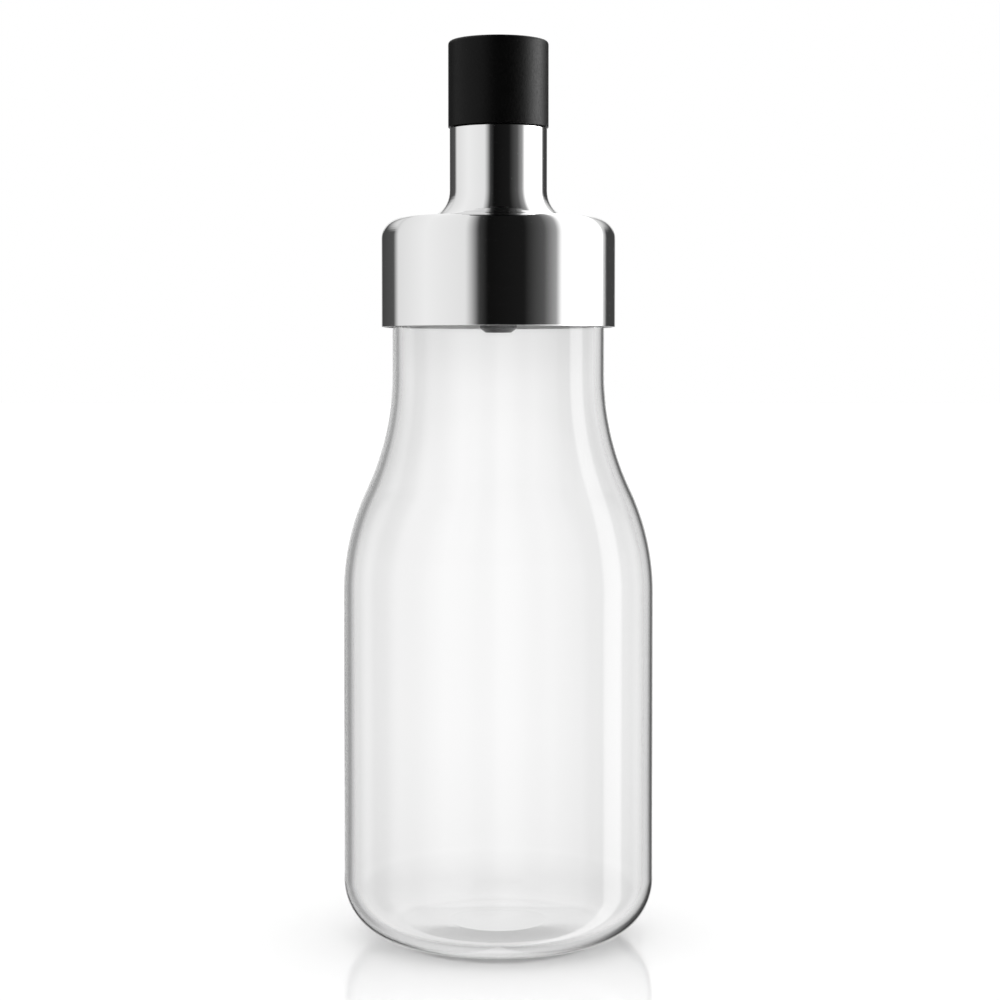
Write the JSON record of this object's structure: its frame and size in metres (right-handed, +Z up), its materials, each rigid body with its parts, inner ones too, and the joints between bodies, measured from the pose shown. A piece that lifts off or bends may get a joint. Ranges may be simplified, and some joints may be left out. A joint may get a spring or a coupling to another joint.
{
  "type": "salad dressing shaker bottle",
  "caption": "Clear glass shaker bottle with a soft shoulder, a push-in polished steel lid that flares into a pouring spout, and a matte black pull-off cap.",
  "frame": {"origin": "on the bottle's axis, on the plane of the base ring that it stands on", "axes": "+Z up along the bottle's axis, towards the cap; the part is round, so X and Y are free"},
  "size_m": [0.065, 0.065, 0.1876],
  "materials": {
    "clear_glass": "clear blown glass, fire-polished",
    "polished_steel": "mirror-polished stainless steel",
    "black_silicone": "matte black moulded silicone",
    "black_moulding": "black moulded polypropylene, semi-gloss",
    "pale_moulding": "natural milky polypropylene, semi-gloss",
    "seal_silicone": "dark grey silicone, satin"
  },
  "bodies": {
    "bottle": {"glass_bottle": "clear_glass"},
    "lid": {"lid_shell": "polished_steel", "stopper_body": "pale_moulding", "rim_gasket": "seal_silicone", "neck_seal_upper": "seal_silicone", "neck_seal_lower": "seal_silicone", "pour_liner": "black_moulding", "liner_ring": "seal_silicone", "inlet_ring": "seal_silicone"},
    "cap": {"cap_sleeve": "black_silicone", "cap_core": "black_moulding", "cap_ring": "seal_silicone"}
  },
  "joints": [
    {"name": "lid_lift", "type": "slide", "parent": "bottle", "child": "lid", "axis": [0, 0, 1], "range_m": [0, 0.021]},
    {"name": "cap_pull", "type": "slide", "parent": "lid", "child": "cap", "axis": [0, 0, 1], "range_m": [0, 0.0105]}
  ]
}
